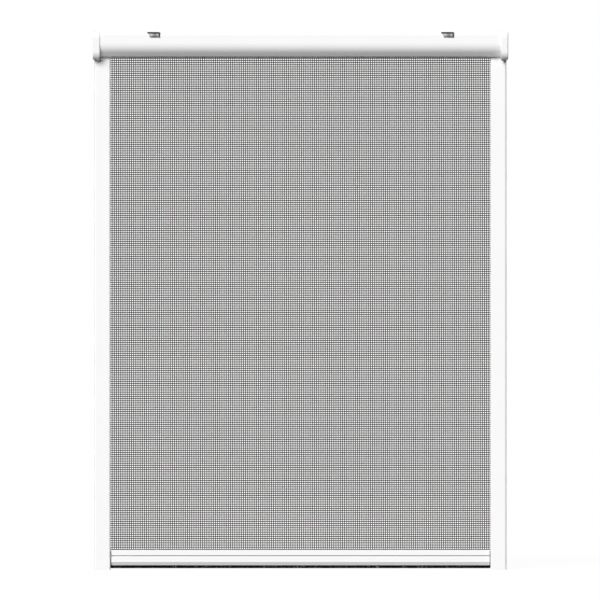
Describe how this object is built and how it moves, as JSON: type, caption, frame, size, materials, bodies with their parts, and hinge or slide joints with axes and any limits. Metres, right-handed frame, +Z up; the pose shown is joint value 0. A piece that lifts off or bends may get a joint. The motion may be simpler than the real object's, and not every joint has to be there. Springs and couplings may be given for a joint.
{
  "type": "roller insect screen for a window",
  "caption": "White roller insect screen: a cassette with end caps over two guide rails, square mesh that winds on a spring roller, and a pull bar with a brush that slides in the rails.",
  "frame": {"origin": "on the sill, midway between the two rails and midway between the end caps' front and the rear plane", "axes": "+X along the cassette to the right as seen from the front, +Y to the rear, +Z up"},
  "size_m": [0.7, 0.046, 0.9083],
  "materials": {
    "white_coated_aluminium": "satin powder coat",
    "white_plastic": "fine moulded grain",
    "grey_plastic": "moulded",
    "spring_steel": "oiled rolled strip",
    "plain_steel": "drawn",
    "plain_aluminium": "extruded",
    "black_pile": "dense fibre pile",
    "grey_mesh": "coated yarn, square weave",
    "grey_spline": "soft cord"
  },
  "bodies": {
    "frame": {"cassette_profile": "white_coated_aluminium", "guide_rail_left": "white_coated_aluminium", "guide_rail_right": "white_coated_aluminium", "end_cap_left": "white_plastic", "end_cap_right": "white_plastic", "rail_foot_left": "white_plastic", "rail_foot_right": "white_plastic", "mounting_clip_left": "spring_steel", "mounting_clip_right": "spring_steel", "idler_pin": "plain_steel", "spring_shaft": "plain_steel", "spring_anchor": "plain_steel", "torsion_spring": "spring_steel", "rail_brush_front_left": "black_pile", "rail_brush_rear_left": "black_pile", "rail_brush_front_right": "black_pile", "rail_brush_rear_right": "black_pile", "mesh_sheet": "grey_mesh"},
    "roller": {"roller_tube": "plain_aluminium", "roller_plug_left": "grey_plastic", "roller_plug_right": "grey_plastic", "spring_carrier": "grey_plastic", "tube_spline": "grey_spline", "mesh_roll": "grey_mesh"},
    "bar": {"pull_bar": "white_coated_aluminium", "bar_glider_left": "grey_plastic", "bar_glider_right": "grey_plastic", "bar_spline": "grey_spline", "bar_brush": "black_pile"}
  },
  "joints": [
    {"name": "bar_slide", "type": "slide", "parent": "frame", "child": "bar", "axis": [0, 0, 1], "range_m": [0, 0.828], "deforming": ["mesh_sheet"]},
    {"name": "roller_spin", "type": "hinge", "parent": "frame", "child": "roller", "pos_m": [0, 0.00007, 0.8836], "axis": [1, 0, 0], "continuous": true}
  ],
  "couplings": [
    {"joint": "roller_spin", "follows": "bar_slide", "rad_per_m": 81}
  ]
}
